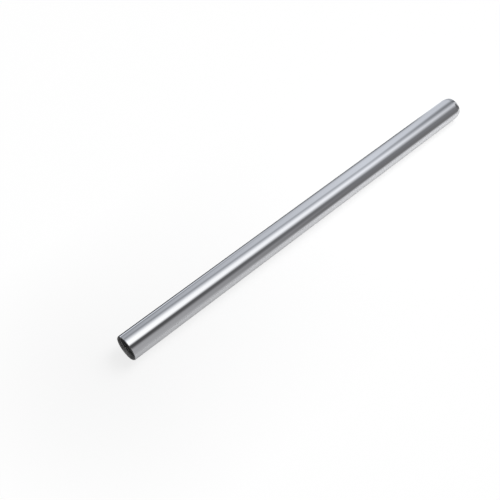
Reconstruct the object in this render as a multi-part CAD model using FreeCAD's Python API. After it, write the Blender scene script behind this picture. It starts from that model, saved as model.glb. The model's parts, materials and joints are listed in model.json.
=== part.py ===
# A motorcycle fork tube: one straight steel tube, turned inside, ground and hard-chromed outside.
# It lies on its side along X, on the plane z = 0. The mouth that takes the threaded fork cap
# is at -X. The lower end, which goes into the fork leg, is at +X. All sizes are in millimetres.
import FreeCAD, Part
import math
import os

# The plain tube
outer_diameter = 35.0
wall = 3.0
tube_length = 642.0

# The mouth: chamfers, a smooth land for the cap's sealing ring, the cap thread, and its run-out
mouth_chamfer_length = 1.2
mouth_chamfer_depth = 0.8
mouth_inner_chamfer = 0.4
ring_land_length = 3.0
ring_land_clearance = 0.2
thread_length = 14.0
thread_pitch = 1.0
thread_crest_step = 0.46
run_out_length = 2.5
run_out_clearance = 0.15

# The lower end: a long lead-in taper outside, and a narrower seat inside that stops the damper
lead_in_length = 6.0
lead_in_depth = 1.3
seat_length = 22.0
seat_step = 1.5
seat_slope = math.radians(30.0)
seat_exit_chamfer = 1.0

# Corners rounded by the polishing wheel
lead_in_blend_radius = 8.0
lower_rim_radius = 0.3
mouth_blend_radius = 0.4
mouth_rim_radius = 0.15

# A metric thread is this many pitches deep, from crest to root
thread_depth_per_pitch = 0.5413

outer_radius = outer_diameter / 2
bore_radius = outer_radius - wall
thread_crest_radius = bore_radius + thread_crest_step
thread_root_radius = thread_crest_radius + thread_depth_per_pitch * thread_pitch
ring_land_radius = thread_root_radius + ring_land_clearance
run_out_radius = thread_root_radius + run_out_clearance
seat_radius = bore_radius - seat_step

mouth_x = -tube_length / 2
lower_x = tube_length / 2


def inside():
    """The inside's corners from the mouth to the lower end, each as (x, radius, corner radius)."""
    land_end = mouth_x + ring_land_length
    thread_start = land_end + ring_land_radius - thread_crest_radius
    thread_end = thread_start + thread_length
    run_out_start = thread_end + run_out_radius - thread_crest_radius
    run_out_end = run_out_start + run_out_length
    bore_start = run_out_end + run_out_radius - bore_radius
    seat_start = lower_x - seat_length
    return [
        (mouth_x, ring_land_radius + mouth_inner_chamfer, 0),
        (mouth_x + mouth_inner_chamfer, ring_land_radius, 0),
        (land_end, ring_land_radius, 0),
        (thread_start, thread_crest_radius, 0),
        (thread_end, thread_crest_radius, 0),
        (run_out_start, run_out_radius, 0),
        (run_out_end, run_out_radius, 0),
        (bore_start, bore_radius, 0),
        (seat_start - seat_step / math.tan(seat_slope), bore_radius, 0),
        (seat_start, seat_radius, 0),
        (lower_x - seat_exit_chamfer, seat_radius, 0),
        (lower_x, seat_radius + seat_exit_chamfer, 0),
    ]


def outside():
    """The outside's corners from the lower end back to the mouth, each as (x, radius, corner radius)."""
    return [
        (lower_x, outer_radius - lead_in_depth, lower_rim_radius),
        (lower_x - lead_in_length, outer_radius, lead_in_blend_radius),
        (mouth_x + mouth_chamfer_length, outer_radius, mouth_blend_radius),
        (mouth_x, outer_radius - mouth_chamfer_depth, mouth_rim_radius),
    ]


def corner_arc(before, corner, after, radius):
    """The arc of this radius that touches both straight lines that meet at a corner."""
    to_before = (before - corner).normalize()
    to_after = (after - corner).normalize()
    half_angle = to_before.getAngle(to_after) / 2
    inward = (to_before + to_after).normalize()
    reach = radius / math.tan(half_angle)
    crown = radius / math.sin(half_angle) - radius
    return Part.Arc(corner + to_before * reach, corner + inward * crown, corner + to_after * reach)


def wall_section():
    """The tube wall's section above its axis, closed, with an arc at each rounded corner."""
    corners = inside() + outside()
    points = [FreeCAD.Vector(x, 0, outer_radius + radius) for x, radius, _ in corners]
    line_starts = list(points)
    line_ends = list(points)
    edges = []
    for number, (_, _, corner_radius) in enumerate(corners):
        if corner_radius:
            after = points[(number + 1) % len(points)]
            arc = corner_arc(points[number - 1], points[number], after, corner_radius)
            line_ends[number] = arc.StartPoint
            line_starts[number] = arc.EndPoint
            edges.append(arc.toShape())
    for line_start, line_end in zip(line_starts, line_ends[1:] + line_ends[:1]):
        edges.append(Part.LineSegment(line_start, line_end).toShape())
    return Part.Face(Part.Wire(Part.__sortEdges__(edges)))


def fork_tube():
    """The wall's section turned once round the tube's axis."""
    axis_point = FreeCAD.Vector(0, 0, outer_radius)
    along_tube = FreeCAD.Vector(1, 0, 0)
    return wall_section().revolve(axis_point, along_tube, 360)


os.makedirs("parts", exist_ok=True)
fork_tube().exportStep("parts/fork_tube.step")
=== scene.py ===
import json
import math

import bmesh
import bpy
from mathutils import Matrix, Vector

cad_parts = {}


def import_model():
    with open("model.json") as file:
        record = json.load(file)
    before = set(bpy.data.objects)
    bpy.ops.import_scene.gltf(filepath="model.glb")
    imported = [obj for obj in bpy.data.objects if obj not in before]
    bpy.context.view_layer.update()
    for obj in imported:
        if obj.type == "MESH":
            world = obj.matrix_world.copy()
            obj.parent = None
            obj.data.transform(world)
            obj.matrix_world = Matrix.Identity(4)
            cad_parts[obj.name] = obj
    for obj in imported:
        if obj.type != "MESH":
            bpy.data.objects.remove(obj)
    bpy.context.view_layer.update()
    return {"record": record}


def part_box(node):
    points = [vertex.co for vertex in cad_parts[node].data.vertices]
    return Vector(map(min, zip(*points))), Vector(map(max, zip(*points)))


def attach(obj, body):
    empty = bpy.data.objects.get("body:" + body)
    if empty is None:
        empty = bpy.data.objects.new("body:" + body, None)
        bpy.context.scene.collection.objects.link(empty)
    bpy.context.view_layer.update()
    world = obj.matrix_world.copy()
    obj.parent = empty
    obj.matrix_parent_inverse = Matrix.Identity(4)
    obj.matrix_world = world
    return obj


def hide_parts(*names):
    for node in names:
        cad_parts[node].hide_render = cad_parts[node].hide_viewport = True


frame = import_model()

# Sizes are in metres and angles in radians unless a name says otherwise.
MM = 0.001

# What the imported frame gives: the tube's box, and the walls that its mounts describe
lowest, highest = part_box("fork_tube")
MOUTH_X = lowest.x
LOWER_X = highest.x
OUTER_RADIUS = (highest.z - lowest.z) / 2
AXIS_HEIGHT = (highest.z + lowest.z) / 2
wall_radius = {m["name"]: m["dims"].get("r_mm", 0) * MM for m in frame["record"]["mounts"]}
THREAD_CREST_RADIUS = wall_radius["cap_thread"]
BORE_RADIUS = wall_radius["spring_bore"]
SEAT_RADIUS = wall_radius["damper_bore"]

# The turned details, with the sizes that the solid has
MOUTH_CHAMFER_LENGTH = 1.2 * MM
MOUTH_CHAMFER_DEPTH = 0.8 * MM
MOUTH_INNER_CHAMFER = 0.4 * MM
RING_LAND_LENGTH = 3.0 * MM
RING_LAND_CLEARANCE = 0.2 * MM
THREAD_LENGTH = 14.0 * MM
THREAD_PITCH = 1.0 * MM
THREAD_DEPTH = 0.5413 * THREAD_PITCH
RUN_OUT_LENGTH = 2.5 * MM
RUN_OUT_CLEARANCE = 0.15 * MM
LEAD_IN_LENGTH = 6.0 * MM
LEAD_IN_DEPTH = 1.3 * MM
SEAT_LENGTH = 22.0 * MM
SEAT_SLOPE = math.radians(30)
SEAT_EXIT_CHAMFER = 1.0 * MM
LEAD_IN_BLEND_RADIUS = 8.0 * MM
LOWER_RIM_RADIUS = 0.3 * MM
MOUTH_BLEND_RADIUS = 0.4 * MM
MOUTH_RIM_RADIUS = 0.15 * MM
BROKEN_EDGE_RADIUS = 0.1 * MM

RING_LAND_RADIUS = THREAD_CREST_RADIUS + THREAD_DEPTH + RING_LAND_CLEARANCE
RUN_OUT_RADIUS = THREAD_CREST_RADIUS + THREAD_DEPTH + RUN_OUT_CLEARANCE

# Mesh fineness
SEGMENTS = 288
ARC_STEPS = 5
BODY_RINGS = 12
BODY_RING_MARGIN = 1.0 * MM
WELD_DISTANCE = 0.002 * MM
SHARP_ANGLE = math.radians(28)

CHROME = 0
STEEL = 1


# The section

def arc_points(before, corner, after, radius):
    """Points along the arc of this radius that touches both lines that meet at a corner."""
    to_before = (before - corner).normalized()
    to_after = (after - corner).normalized()
    half_angle = to_before.angle(to_after) / 2
    inward = (to_before + to_after).normalized()
    centre = corner + inward * (radius / math.sin(half_angle))
    reach = radius / math.tan(half_angle)
    start = corner + to_before * reach - centre
    end = corner + to_after * reach - centre
    turn = start.angle(end)
    points = []
    for step in range(ARC_STEPS + 1):
        share = step / ARC_STEPS
        weight_start = math.sin((1 - share) * turn) / math.sin(turn)
        weight_end = math.sin(share * turn) / math.sin(turn)
        points.append(centre + start * weight_start + end * weight_end)
    return points


def land_corners():
    """The inside by the mouth's face, up to the sealing ring's land, as (x, radius, rounding)."""
    return [
        (MOUTH_X, RING_LAND_RADIUS + MOUTH_INNER_CHAMFER, BROKEN_EDGE_RADIUS),
        (MOUTH_X + MOUTH_INNER_CHAMFER, RING_LAND_RADIUS, BROKEN_EDGE_RADIUS),
    ]


def thread_limits():
    """Where the thread's cones start and end, between the ring land and the run-out groove."""
    start = MOUTH_X + RING_LAND_LENGTH
    lead_in = RING_LAND_RADIUS - THREAD_CREST_RADIUS
    lead_out = RUN_OUT_RADIUS - THREAD_CREST_RADIUS
    return start, start + lead_in + THREAD_LENGTH + lead_out


def bore_corners():
    """The inside from the run-out groove to the lower end's face."""
    run_out_end = thread_limits()[1] + RUN_OUT_LENGTH
    bore_start = run_out_end + RUN_OUT_RADIUS - BORE_RADIUS
    seat_start = LOWER_X - SEAT_LENGTH
    seat_cone = (BORE_RADIUS - SEAT_RADIUS) / math.tan(SEAT_SLOPE)
    return [
        (run_out_end, RUN_OUT_RADIUS, 0),
        (bore_start, BORE_RADIUS, BROKEN_EDGE_RADIUS),
        (seat_start - seat_cone, BORE_RADIUS, 0),
        (seat_start, SEAT_RADIUS, BROKEN_EDGE_RADIUS),
        (LOWER_X - SEAT_EXIT_CHAMFER, SEAT_RADIUS, BROKEN_EDGE_RADIUS),
        (LOWER_X, SEAT_RADIUS + SEAT_EXIT_CHAMFER, BROKEN_EDGE_RADIUS),
    ]


def outside_corners():
    """The outside, from the lower end's face back to the mouth's face.

    The last but one lies halfway down the mouth's chamfer, where the chrome ends.
    """
    return [
        (LOWER_X, OUTER_RADIUS - LEAD_IN_DEPTH, LOWER_RIM_RADIUS),
        (LOWER_X - LEAD_IN_LENGTH, OUTER_RADIUS, LEAD_IN_BLEND_RADIUS),
        (MOUTH_X + MOUTH_CHAMFER_LENGTH, OUTER_RADIUS, MOUTH_BLEND_RADIUS),
        (MOUTH_X + MOUTH_CHAMFER_LENGTH / 2, OUTER_RADIUS - MOUTH_CHAMFER_DEPTH / 2, 0),
        (MOUTH_X, OUTER_RADIUS - MOUTH_CHAMFER_DEPTH, MOUTH_RIM_RADIUS),
    ]


def line_through(corners, before, after):
    """The corners as points (x, radius), with an arc at each one that is rounded."""
    ends = [before] + [Vector(corner[:2]) for corner in corners] + [after]
    points = []
    for number, corner in enumerate(corners):
        if corner[2]:
            points += arc_points(ends[number], ends[number + 1], ends[number + 2], corner[2])
        else:
            points.append(ends[number + 1])
    return points


# The cap thread

# Phases of one pitch at which the thread's flat crest, straight flanks and flat root turn
THREAD_PHASES = [0.0, 0.125, 0.28125, 0.4375, 0.5, 0.5625, 0.71875, 0.875]
CREST_EDGE = 0.125
ROOT_EDGE = 0.4375


def thread_radius(x, turn):
    """The inner radius in the threaded stretch, at this station and share of a turn."""
    start, end = thread_limits()
    phase = ((x - start) / THREAD_PITCH - turn) % 1.0
    from_crest = min(phase, 1.0 - phase)
    depth_share = (from_crest - CREST_EDGE) / (ROOT_EDGE - CREST_EDGE)
    thread = THREAD_CREST_RADIUS + THREAD_DEPTH * min(max(depth_share, 0.0), 1.0)
    lead_in_cone = RING_LAND_RADIUS - (x - start)
    lead_out_cone = RUN_OUT_RADIUS - (end - x)
    return max(thread, lead_in_cone, lead_out_cone)


def thread_line(turn):
    """The threaded stretch's points at this share of a turn. A whole turn moves each a pitch on."""
    start, end = thread_limits()
    pitches = math.ceil((end - start) / THREAD_PITCH) + 1
    points = []
    for number in range(-1, pitches):
        for phase in THREAD_PHASES:
            wanted = start + (number + phase + turn) * THREAD_PITCH
            x = min(max(wanted, start), end)
            points.append(Vector((x, thread_radius(x, turn))))
    return points


# The tube's mesh

def section(turn):
    """The wall's closed outline at this share of a turn, and each point's material."""
    thread = thread_line(turn)
    start, end = thread_limits()
    bore = bore_corners()
    outside = outside_corners()
    face_corner = Vector(outside[-1][:2])
    mouth = line_through(land_corners(), face_corner, Vector((start, RING_LAND_RADIUS)))
    bore_line = line_through(bore, Vector((end, RUN_OUT_RADIUS)), Vector(outside[0][:2]))
    outer_line = line_through(outside, Vector(bore[-1][:2]), Vector(land_corners()[0][:2]))
    points_in_arc = ARC_STEPS + 1
    body_place = 2 * points_in_arc
    body_start = outer_line[body_place - 1].x - BODY_RING_MARGIN
    body_end = outer_line[body_place].x + BODY_RING_MARGIN
    body = []
    for ring in range(BODY_RINGS + 1):
        share = ring / BODY_RINGS
        body.append(Vector((body_start * (1 - share) + body_end * share, OUTER_RADIUS)))
    outer_line[body_place:body_place] = body
    inner = mouth + thread + bore_line
    chromed_points = len(outer_line) - points_in_arc
    materials = [STEEL] * len(inner) + [CHROME] * chromed_points + [STEEL] * points_in_arc
    return inner + outer_line, materials


def tube_mesh():
    """The wall's section carried once round the axis, closed on itself."""
    vertices = []
    for column in range(SEGMENTS + 1):
        turn = column / SEGMENTS
        points, materials = section(turn)
        side = math.sin(math.tau * turn)
        up = math.cos(math.tau * turn)
        for point in points:
            vertices.append((point.x, -point.y * side, AXIS_HEIGHT + point.y * up))
    rows = len(materials)
    faces = []
    face_materials = []
    for column in range(SEGMENTS):
        here = column * rows
        there = here + rows
        for row in range(rows):
            following = (row + 1) % rows
            faces.append((here + row, here + following, there + following, there + row))
            on_chrome = materials[row] == CHROME and materials[following] == CHROME
            face_materials.append(CHROME if on_chrome else STEEL)
    mesh = bpy.data.meshes.new("fork_tube_finished")
    mesh.from_pydata(vertices, [], faces)
    mesh.polygons.foreach_set("material_index", face_materials)
    return mesh


def weld(mesh):
    """Joins the points that fall together, where the columns meet and at the thread's ends."""
    work = bmesh.new()
    work.from_mesh(mesh)
    bmesh.ops.remove_doubles(work, verts=work.verts, dist=WELD_DISTANCE)
    bmesh.ops.dissolve_degenerate(work, edges=work.edges, dist=WELD_DISTANCE / 2)
    bmesh.ops.recalc_face_normals(work, faces=work.faces)
    work.to_mesh(mesh)
    work.free()
    mesh.shade_smooth()
    mesh.set_sharp_from_angle(angle=SHARP_ANGLE)


# Shader nodes

def add(tree, kind, sockets=None, **settings):
    """A new node with these settings, its sockets linked or given a value."""
    made = tree.nodes.new(kind)
    for name, value in settings.items():
        setattr(made, name, value)
    for name, value in (sockets or {}).items():
        if isinstance(value, bpy.types.NodeSocket):
            tree.links.new(value, made.inputs[name])
        else:
            made.inputs[name].default_value = value
    return made


def math_of(tree, operation, first, second=0.0):
    return add(tree, "ShaderNodeMath", {0: first, 1: second}, operation=operation).outputs[0]


def between(tree, value, low, high, low_result, high_result, smooth=False):
    """A value turned from one range to another and held inside it."""
    kind = "SMOOTHSTEP" if smooth else "LINEAR"
    return add(tree, "ShaderNodeMapRange", {
        "Value": value,
        "From Min": low,
        "From Max": high,
        "To Min": low_result,
        "To Max": high_result,
    }, interpolation_type=kind).outputs[0]


def mix_of(tree, share, first, second):
    return add(tree, "ShaderNodeMix", {0: share, 2: first, 3: second}, data_type="FLOAT").outputs[0]


def mix_colours(tree, share, first, second):
    return add(tree, "ShaderNodeMix", {0: share, 6: first, 7: second}, data_type="RGBA").outputs[2]


def new_material(name):
    material = bpy.data.materials.new(name)
    material.use_nodes = True
    material.node_tree.nodes.clear()
    return material, material.node_tree


# The finishes

CHROME_COLOUR = (0.56, 0.565, 0.58, 1)
CHROME_EDGE_TINT = (0.8, 0.8, 0.8, 1)
CHROME_ROUGHNESS = (0.035, 0.075)
HAZE_SCALE = 38.0
HAZE_RANGE = (0.35, 0.7)

# Marks per metre along the tube and per turn round it, and how strong and deep they are
GRIND_MARKS = (2600.0, 6.0)
GRIND_ROUGHNESS = 0.03
GRIND_BUMP = (0.05, 0.02 * MM)
TOOL_MARKS = (5200.0, 3.0)
TOOL_BUMP = (0.25, 0.04 * MM)

OIL_SCALE = 220.0
OIL_RANGE = (0.3, 0.75)
OILED_DARK = (0.13, 0.129, 0.128, 1)
OILED_LIGHT = (0.21, 0.208, 0.206, 1)
LAND_COLOUR = (0.30, 0.297, 0.295, 1)
# Painted shade: a dark colour on the mouth's chamfer and the face's outer edge
CHAMFER_PAINTED_SHADE = (0.07, 0.07, 0.072, 1)
STEEL_METALLIC = 0.85
STEEL_ROUGHNESS = (0.5, 0.65)

# How softly the finish changes at the face and before the thread, and how softly the painted shade
# comes in by the chamfer
FACE_FADE = 0.1 * MM
THREAD_FADE = 0.6 * MM
CHAMFER_FADE = (0.3 * MM, 0.1 * MM)


def on_the_tube(tree):
    """Where a point is on the tube: its place, x, share of a turn, and distance from the axis."""
    place = add(tree, "ShaderNodeTexCoord").outputs["Object"]
    parts = add(tree, "ShaderNodeSeparateXYZ", {"Vector": place}).outputs
    above_axis = math_of(tree, "SUBTRACT", parts["Z"], AXIS_HEIGHT)
    turns = math_of(tree, "DIVIDE", math_of(tree, "ARCTAN2", parts["Y"], above_axis), math.tau)
    across = add(tree, "ShaderNodeCombineXYZ", {"Y": parts["Y"], "Z": above_axis})
    from_axis = add(tree, "ShaderNodeVectorMath", {0: across.outputs[0]}, operation="LENGTH")
    return place, parts["X"], turns, from_axis.outputs["Value"]


def marks_round(tree, along, turns, marks, looks):
    """Fine marks that run round the tube, as a grinding wheel or a cutting tool leaves them."""
    place = add(tree, "ShaderNodeCombineXYZ", {
        "X": math_of(tree, "MULTIPLY", along, marks[0]),
        "Y": math_of(tree, "MULTIPLY", turns, marks[1]),
    })
    noise = add(tree, "ShaderNodeTexNoise", {"Vector": place.outputs[0], "Scale": 1.0, **looks})
    return noise.outputs["Fac"]


def bump_of(tree, height, bump):
    strength, depth = bump
    made = add(tree, "ShaderNodeBump", {"Height": height, "Strength": strength, "Distance": depth})
    return made.outputs[0]


def chrome():
    """Hard chrome, ground and polished round the tube: nearly a mirror, with a faint haze."""
    material, tree = new_material("hard_chrome")
    place, along, turns, _ = on_the_tube(tree)
    grind = marks_round(tree, along, turns, GRIND_MARKS, {"Detail": 3.0, "Roughness": 0.6})
    haze = add(tree, "ShaderNodeTexNoise", {"Vector": place, "Scale": HAZE_SCALE, "Detail": 4.0})
    haze_roughness = between(tree, haze.outputs["Fac"], *HAZE_RANGE, *CHROME_ROUGHNESS)
    grind_roughness = math_of(tree, "MULTIPLY", grind, GRIND_ROUGHNESS)
    shader = add(tree, "ShaderNodeBsdfPrincipled", {
        "Base Color": CHROME_COLOUR,
        "Metallic": 1.0,
        "Roughness": math_of(tree, "ADD", haze_roughness, grind_roughness),
        "Normal": bump_of(tree, grind, GRIND_BUMP),
        "Specular Tint": CHROME_EDGE_TINT,
    })
    add(tree, "ShaderNodeOutputMaterial", {"Surface": shader.outputs[0]})
    return material


def steel_colour(tree, place, along, from_axis):
    """Steel under oil, lighter on the land that the sealing ring wipes, and dark on the chamfer as
    painted shade.
    """
    oil = add(tree, "ShaderNodeTexNoise", {"Vector": place, "Scale": OIL_SCALE, "Detail": 5.0})
    oil_share = between(tree, oil.outputs["Fac"], *OIL_RANGE, 0.0, 1.0)
    oiled = mix_colours(tree, oil_share, OILED_DARK, OILED_LIGHT)
    land_end = MOUTH_X + RING_LAND_LENGTH
    past_face = between(tree, along, MOUTH_X, MOUTH_X + FACE_FADE, 0.0, 1.0)
    before_thread = between(tree, along, land_end - THREAD_FADE, land_end, 1.0, 0.0)
    on_land = math_of(tree, "MULTIPLY", past_face, before_thread)
    wall = mix_colours(tree, on_land, oiled, LAND_COLOUR)
    chamfer_foot = OUTER_RADIUS - MOUTH_CHAMFER_DEPTH
    fade_start = chamfer_foot - CHAMFER_FADE[0]
    fade_end = chamfer_foot - CHAMFER_FADE[1]
    # Painted shade: the chamfer and the face's outer edge take the dark colour
    inside = between(tree, from_axis, fade_start, fade_end, 1.0, 0.0)
    return mix_colours(tree, inside, CHAMFER_PAINTED_SHADE, wall)


def bare_steel():
    """Turned steel with no plating, with the fine rings that the cutting tool leaves."""
    material, tree = new_material("turned_steel")
    place, along, turns, from_axis = on_the_tube(tree)
    rings = marks_round(tree, along, turns, TOOL_MARKS, {"Detail": 2.0})
    shader = add(tree, "ShaderNodeBsdfPrincipled", {
        "Base Color": steel_colour(tree, place, along, from_axis),
        "Metallic": STEEL_METALLIC,
        "Roughness": between(tree, rings, 0.0, 1.0, *STEEL_ROUGHNESS),
        "Normal": bump_of(tree, rings, TOOL_BUMP),
    })
    add(tree, "ShaderNodeOutputMaterial", {"Surface": shader.outputs[0]})
    return material


def fork_tube():
    mesh = tube_mesh()
    weld(mesh)
    mesh.materials.append(chrome())
    mesh.materials.append(bare_steel())
    tube = bpy.data.objects.new("fork_tube_finished", mesh)
    bpy.context.scene.collection.objects.link(tube)
    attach(tube, "root")
    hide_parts("fork_tube")


# The camera, at the photograph's place

CAMERA_AZIMUTH = math.radians(-43.83)
CAMERA_ELEVATION = math.radians(49.94)
CAMERA_DISTANCE = 1.0191
CAMERA_TARGET = Vector((-0.1073, 0.00845, AXIS_HEIGHT))
CAMERA_LENS_MM = 55.44
CAMERA_SENSOR_MM = 36.0


def camera():
    data = bpy.data.cameras.new("camera")
    data.lens = CAMERA_LENS_MM
    data.sensor_width = CAMERA_SENSOR_MM
    data.clip_start = 0.01
    back = Vector((
        math.sin(CAMERA_AZIMUTH) * math.cos(CAMERA_ELEVATION),
        -math.cos(CAMERA_AZIMUTH) * math.cos(CAMERA_ELEVATION),
        math.sin(CAMERA_ELEVATION),
    ))
    holder = bpy.data.objects.new("camera", data)
    holder.location = CAMERA_TARGET + back * CAMERA_DISTANCE
    holder.rotation_mode = "QUATERNION"
    holder.rotation_quaternion = (-back).to_track_quat("-Z", "Y")
    bpy.context.scene.collection.objects.link(holder)
    bpy.context.scene.camera = holder


# The stage

FLOOR_RADIUS = 6.0
FLOOR_COLOUR = (0.86, 0.86, 0.865, 1)

# How much of the floor glows plain white: beside the tube, where a lower share leaves a painted
# shadow round it, away from it, and as metal shows it
FLOOR_LIFT_IN_PAINTED_SHADOW = 0.8
FLOOR_LIFT_AWAY = 0.99
FLOOR_LIFT_REACH = 0.22
FLOOR_LIFT_MIRRORED = 0.3

# A painted reflection of a studio that only the metal mirrors: a half round glowing vault over the
# tube that lights nothing, with the lower end's part of the view far along it
VAULT_RADIUS = 1.5
VAULT_REACH = 5.0
VAULT_SEGMENTS = 96
VAULT_NEAR_X = 0.09
VAULT_MID_X = 1.23
VAULT_FAR_X = 1.70

COOL = (0.95, 0.985, 1.05, 1)
COOL_WHITE = (0.975, 0.99, 1.03, 1)
WHITE = (1.0, 1.0, 0.985, 1)
GREY = (0.99, 0.985, 1.0, 1)
MAUVE = (1.0, 0.98, 1.03, 1)

# Each step round the vault, from the back over the ceiling to the front, is a band of painted
# reflection: it turns the brightness before it into its own between two angles from straight above,
# in degrees (back is positive), the bright step a painted highlight and the dark one painted shade.
# The angles and the brightness are those of the near, middle and far part of the vault, and the
# two tints those of its near and far part.
BACK_SKIRTING = (0.80, 1.05, 1.00)
PAINTED_REFLECTION_STEPS = [
    ("back wall's foot", (95, 95, 95), (82, 82, 82), (0.55, 1.05, 1.00), (COOL, COOL)),
    ("back wall", (75, 75, 75), (63, 63, 63), (0.65, 1.12, 1.01), (COOL, COOL)),
    ("ceiling gap", (53, 25, 50), (39, 11, 16), (0.42, 0.74, 0.38), (COOL, COOL)),
    ("painted softbox highlight", (44, 9, 13), (-2, -17, -21), (1.78, 1.45, 1.03), (WHITE, COOL_WHITE)),
    ("painted dark flag", (-17, -16, -19), (-37, -54, -53), (0.12, 0.30, 0.32), (GREY, COOL_WHITE)),
    ("front wall", (-48, -57, -57), (-73, -81, -81), (0.605, 0.26, 0.27), (GREY, MAUVE)),
]

# Only the lower end's taper mirrors the vault's end. The painted reflection gets darker there,
# apart from the painted highlight band, which lies between these two edges in degrees, and all its
# steps turn towards the back.
VAULT_END_X = (1.78, 2.10)
VAULT_END_SHARE = 0.62
PAINTED_SOFTBOX_FRONT_EDGE = (-34, -16)
PAINTED_SOFTBOX_BACK_EDGE = (0, 16)
VAULT_TURN_X = (2.1, 3.6)
VAULT_TURN = 16.0

# Two low glowing cards, painted reflections that light nothing, lean out beside the tube: (y, z) of
# their foot and their top
FRONT_CARD = ((-0.05, 0.0), (-0.10, 0.045))
REAR_CARD = ((0.03, 0.0), (0.065, 0.05))
CARD_NEAR_X = -0.25
CARD_FAR_X = 0.05

# The brightness of the front card's top and foot, each near and far, and the heights between which
# the foot turns into the top: the top a painted reflection of a dark wall, the foot one of the
# floor, darker near the mouth as painted shade. Past the lower end the foot gets as dark as the
# top.
FRONT_CARD_TOP = (0.60, 0.27)
FRONT_CARD_FOOT = (0.69, 1.10)
FRONT_CARD_EDGE_Z = (-0.001, 0.019)
FRONT_CARD_END_X = (0.366, 0.400)
FRONT_CARD_END_SHARE = 0.28

# The near part of the rear card is dark at its foot as painted shade, with a painted bright line
# and a half bright top above it. Its far part and the one by the lower end run from one brightness
# to another over a height.
REAR_NEAR_PAINTED_SHADE = 0.08
REAR_NEAR_PAINTED_LINE = 1.40
REAR_NEAR_TOP = 0.47
REAR_NEAR_LINE_Z = (0.0185, 0.0275)
REAR_NEAR_TOP_Z = (0.028, 0.036)
REAR_FAR_Z = (0.010, 0.038)
REAR_FAR = (0.15, 0.98)
REAR_FADE_X = (0.25, 0.32)
REAR_FADED_Z = (0.010, 0.034)
REAR_FADED = (1.15, 1.02)

# What the taper mirrors of it is darker, past a slanting line: x less this much of z
REAR_END_SLANT = 1 / 1.5
REAR_END_X = (0.332, 0.347)
REAR_END_SHARE = 0.70

KEY_PLACE = (0.38, -0.1, 0.75)
KEY_TARGET = (0.32, -0.05, 0)
KEY_SIZE = 0.7
KEY_WATTS = 9.0
AMBIENT = (0.25, 0.25, 0.255, 1)


def seen_directly(tree, seen, mirrored):
    """One share for what the camera sees, one for what metal or glass shows, otherwise nought."""
    path = add(tree, "ShaderNodeLightPath").outputs
    by_camera = math_of(tree, "MULTIPLY", path["Is Camera Ray"], seen)
    by_metal = math_of(tree, "MULTIPLY", path["Is Glossy Ray"], mirrored)
    by_glass = math_of(tree, "MULTIPLY", path["Is Transmission Ray"], mirrored)
    return math_of(tree, "MAXIMUM", math_of(tree, "MAXIMUM", by_camera, by_metal), by_glass)


def floor():
    """A pale floor that takes the tube's shadow, with a painted shadow round the tube where it
    glows less white, and turns into plain white away from it.
    """
    bpy.ops.mesh.primitive_circle_add(vertices=128, radius=FLOOR_RADIUS, fill_type="NGON")
    disc = bpy.context.object
    disc.name = "floor"
    material, tree = new_material("floor")
    place = add(tree, "ShaderNodeTexCoord").outputs["Object"]
    x = add(tree, "ShaderNodeSeparateXYZ", {"Vector": place}).outputs["X"]
    x_on_tube = add(tree, "ShaderNodeClamp", {"Value": x, "Min": MOUTH_X, "Max": LOWER_X})
    nearest = add(tree, "ShaderNodeCombineXYZ", {"X": x_on_tube.outputs[0]})
    both = {0: place, 1: nearest.outputs[0]}
    away = add(tree, "ShaderNodeVectorMath", both, operation="DISTANCE")
    lifts = (FLOOR_LIFT_IN_PAINTED_SHADOW, FLOOR_LIFT_AWAY)
    # Painted shadow: less white glow near the tube, rising to plain white over the reach
    lift_with_painted_shadow = between(tree, away.outputs["Value"], 0.0, FLOOR_LIFT_REACH, *lifts)
    share = seen_directly(tree, lift_with_painted_shadow, FLOOR_LIFT_MIRRORED)
    paper = add(tree, "ShaderNodeBsdfDiffuse", {"Color": FLOOR_COLOUR})
    white = add(tree, "ShaderNodeEmission", {"Color": (1, 1, 1, 1), "Strength": 1.0})
    mixed = add(tree, "ShaderNodeMixShader", {0: share, 1: paper.outputs[0], 2: white.outputs[0]})
    add(tree, "ShaderNodeOutputMaterial", {"Surface": mixed.outputs[0]})
    disc.data.materials.append(material)
    return disc


def along_vault(tree, x, near, middle, far):
    """A value that runs from near to middle to far along the vault."""
    first = between(tree, x, VAULT_NEAR_X, VAULT_MID_X, near, middle)
    second = between(tree, x, VAULT_MID_X, VAULT_FAR_X, 0.0, far - middle)
    return math_of(tree, "ADD", first, second)


def glowing(name):
    """A new material for a painted reflection, its nodes, and its place in the studio."""
    material, tree = new_material(name)
    place = add(tree, "ShaderNodeTexCoord").outputs["Object"]
    parts = add(tree, "ShaderNodeSeparateXYZ", {"Vector": place}).outputs
    return material, tree, parts


def glow(tree, colour, level):
    emission = add(tree, "ShaderNodeEmission", {"Color": colour, "Strength": level})
    add(tree, "ShaderNodeOutputMaterial", {"Surface": emission.outputs[0]})


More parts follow.
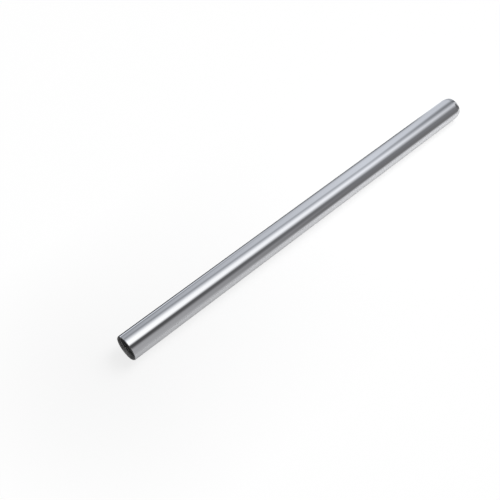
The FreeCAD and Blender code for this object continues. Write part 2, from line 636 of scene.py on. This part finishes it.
# Painted reflection: glowing bands that only metal shows, with a painted highlight and a painted
# dark band
def painted_reflection_vault_material():
    material, tree, place = glowing("vault")
    x = place["X"]
    angle = math_of(tree, "ARCTAN2", place["Y"], place["Z"])
    turned_back = between(tree, x, *VAULT_TURN_X, 0.0, VAULT_TURN)
    from_above = math_of(tree, "MULTIPLY", angle, 180 / math.pi)
    degrees = math_of(tree, "SUBTRACT", from_above, turned_back)
    level = along_vault(tree, x, *BACK_SKIRTING)
    tint = COOL
    far_share = between(tree, x, VAULT_NEAR_X, VAULT_MID_X, 0.0, 1.0)
    for _, starts, ends, levels, tints in PAINTED_REFLECTION_STEPS:
        start = along_vault(tree, x, *starts)
        end = along_vault(tree, x, *ends)
        share = between(tree, degrees, end, start, 1.0, 0.0, smooth=True)
        level = mix_of(tree, share, level, along_vault(tree, x, *levels))
        new_tint = mix_colours(tree, far_share, *tints)
        tint = mix_colours(tree, share, tint, new_tint)
    # The painted highlight band keeps its brightness past the vault's end
    past_front_edge = between(tree, degrees, *PAINTED_SOFTBOX_FRONT_EDGE, 0.0, 1.0, smooth=True)
    before_back_edge = between(tree, degrees, *PAINTED_SOFTBOX_BACK_EDGE, 1.0, 0.0, smooth=True)
    in_painted_softbox = math_of(tree, "MULTIPLY", past_front_edge, before_back_edge)
    end_level = mix_of(tree, in_painted_softbox, VAULT_END_SHARE, 1.0)
    past_end = between(tree, x, *VAULT_END_X, 0.0, 1.0)
    glow(tree, tint, math_of(tree, "MULTIPLY", level, mix_of(tree, past_end, 1.0, end_level)))
    return material


def painted_reflection_front_card_material():
    """A painted reflection: as dark as the front wall at its top, and turning into a painted floor
    at its foot, darker near the mouth.
    """
    material, tree, place = glowing("painted_reflection_front_card")
    top = between(tree, place["X"], CARD_NEAR_X, CARD_FAR_X, *FRONT_CARD_TOP)
    foot = between(tree, place["X"], CARD_NEAR_X, CARD_FAR_X, *FRONT_CARD_FOOT)
    end_share = between(tree, place["X"], *FRONT_CARD_END_X, 1.0, FRONT_CARD_END_SHARE)
    share = between(tree, place["Z"], *FRONT_CARD_EDGE_Z, 0.0, 1.0, smooth=True)
    glow(tree, GREY, mix_of(tree, share, math_of(tree, "MULTIPLY", foot, end_share), top))
    return material


def painted_reflection_rear_card_material():
    """A painted reflection: painted shade at its foot, turning into the back wall at its top, and
    fading out by the lower end.
    """
    material, tree, place = glowing("painted_reflection_rear_card")
    x = place["X"]
    z = place["Z"]
    # Painted shade at the near foot, with a painted bright line above it
    at_line = between(tree, z, *REAR_NEAR_LINE_Z, REAR_NEAR_PAINTED_SHADE, REAR_NEAR_PAINTED_LINE, smooth=True)
    near = mix_of(tree, between(tree, z, *REAR_NEAR_TOP_Z, 0.0, 1.0), at_line, REAR_NEAR_TOP)
    far = between(tree, z, *REAR_FAR_Z, *REAR_FAR)
    faded = between(tree, z, *REAR_FADED_Z, *REAR_FADED)
    far_share = between(tree, x, CARD_NEAR_X, CARD_FAR_X, 0.0, 1.0)
    fade = between(tree, x, *REAR_FADE_X, 0.0, 1.0, smooth=True)
    level = mix_of(tree, fade, mix_of(tree, far_share, near, far), faded)
    slanted = math_of(tree, "SUBTRACT", x, math_of(tree, "MULTIPLY", z, REAR_END_SLANT))
    end_share = between(tree, slanted, *REAR_END_X, 1.0, REAR_END_SHARE)
    glow(tree, COOL, math_of(tree, "MULTIPLY", level, end_share))
    return material


def painted_reflection_strip(name, profile, reach, material):
    """A painted reflection that only metal shows: a glowing profile (y, z) drawn out along x."""
    vertices = []
    faces = []
    for y, z in profile:
        vertices.append((-reach, y, z))
        vertices.append((reach, y, z))
    for number in range(len(profile) - 1):
        first = 2 * number
        faces.append((first, first + 1, first + 3, first + 2))
    mesh = bpy.data.meshes.new(name)
    mesh.from_pydata(vertices, [], faces)
    mesh.materials.append(material)
    strip = bpy.data.objects.new(name, mesh)
    strip.visible_camera = False
    strip.visible_diffuse = False
    strip.visible_shadow = False
    bpy.context.scene.collection.objects.link(strip)
    return strip


def studio():
    """Painted reflections of a soft light and of walls: glowing sheets that only the chrome
    mirrors.
    """
    arch = []
    for number in range(VAULT_SEGMENTS + 1):
        angle = math.pi * (number / VAULT_SEGMENTS - 0.5)
        arch.append((VAULT_RADIUS * math.sin(angle), VAULT_RADIUS * math.cos(angle)))
    return [
        painted_reflection_strip("vault", arch, VAULT_REACH, painted_reflection_vault_material()),
        painted_reflection_strip("painted_reflection_front_card", FRONT_CARD, VAULT_REACH, painted_reflection_front_card_material()),
        painted_reflection_strip("painted_reflection_rear_card", REAR_CARD, VAULT_REACH, painted_reflection_rear_card_material()),
    ]


def lamp(name, place, target, size, watts):
    """A soft square lamp that lights the floor and isn't mirrored itself."""
    data = bpy.data.lights.new(name, "AREA")
    data.shape = "SQUARE"
    data.size = size
    data.energy = watts
    holder = bpy.data.objects.new(name, data)
    holder.location = place
    holder.rotation_mode = "QUATERNION"
    holder.rotation_quaternion = (Vector(target) - Vector(place)).to_track_quat("-Z", "Y")
    holder.visible_glossy = False
    bpy.context.scene.collection.objects.link(holder)


def world():
    """White behind everything that is seen, and a plain grey light from all round."""
    made = bpy.data.worlds.new("world")
    made.use_nodes = True
    tree = made.node_tree
    tree.nodes.clear()
    ambient = add(tree, "ShaderNodeBackground", {"Color": AMBIENT, "Strength": 1.0})
    white = add(tree, "ShaderNodeBackground", {"Color": (1, 1, 1, 1), "Strength": 1.0})
    mixed = add(tree, "ShaderNodeMixShader", {
        0: seen_directly(tree, 1.0, 1.0), 1: ambient.outputs[0], 2: white.outputs[0],
    })
    add(tree, "ShaderNodeOutputWorld", {"Surface": mixed.outputs[0]})
    bpy.context.scene.world = made


bpy.context.scene.view_settings.view_transform = "Standard"
camera()
fork_tube()
floor()
studio()
lamp("key", KEY_PLACE, KEY_TARGET, KEY_SIZE, KEY_WATTS)
world()
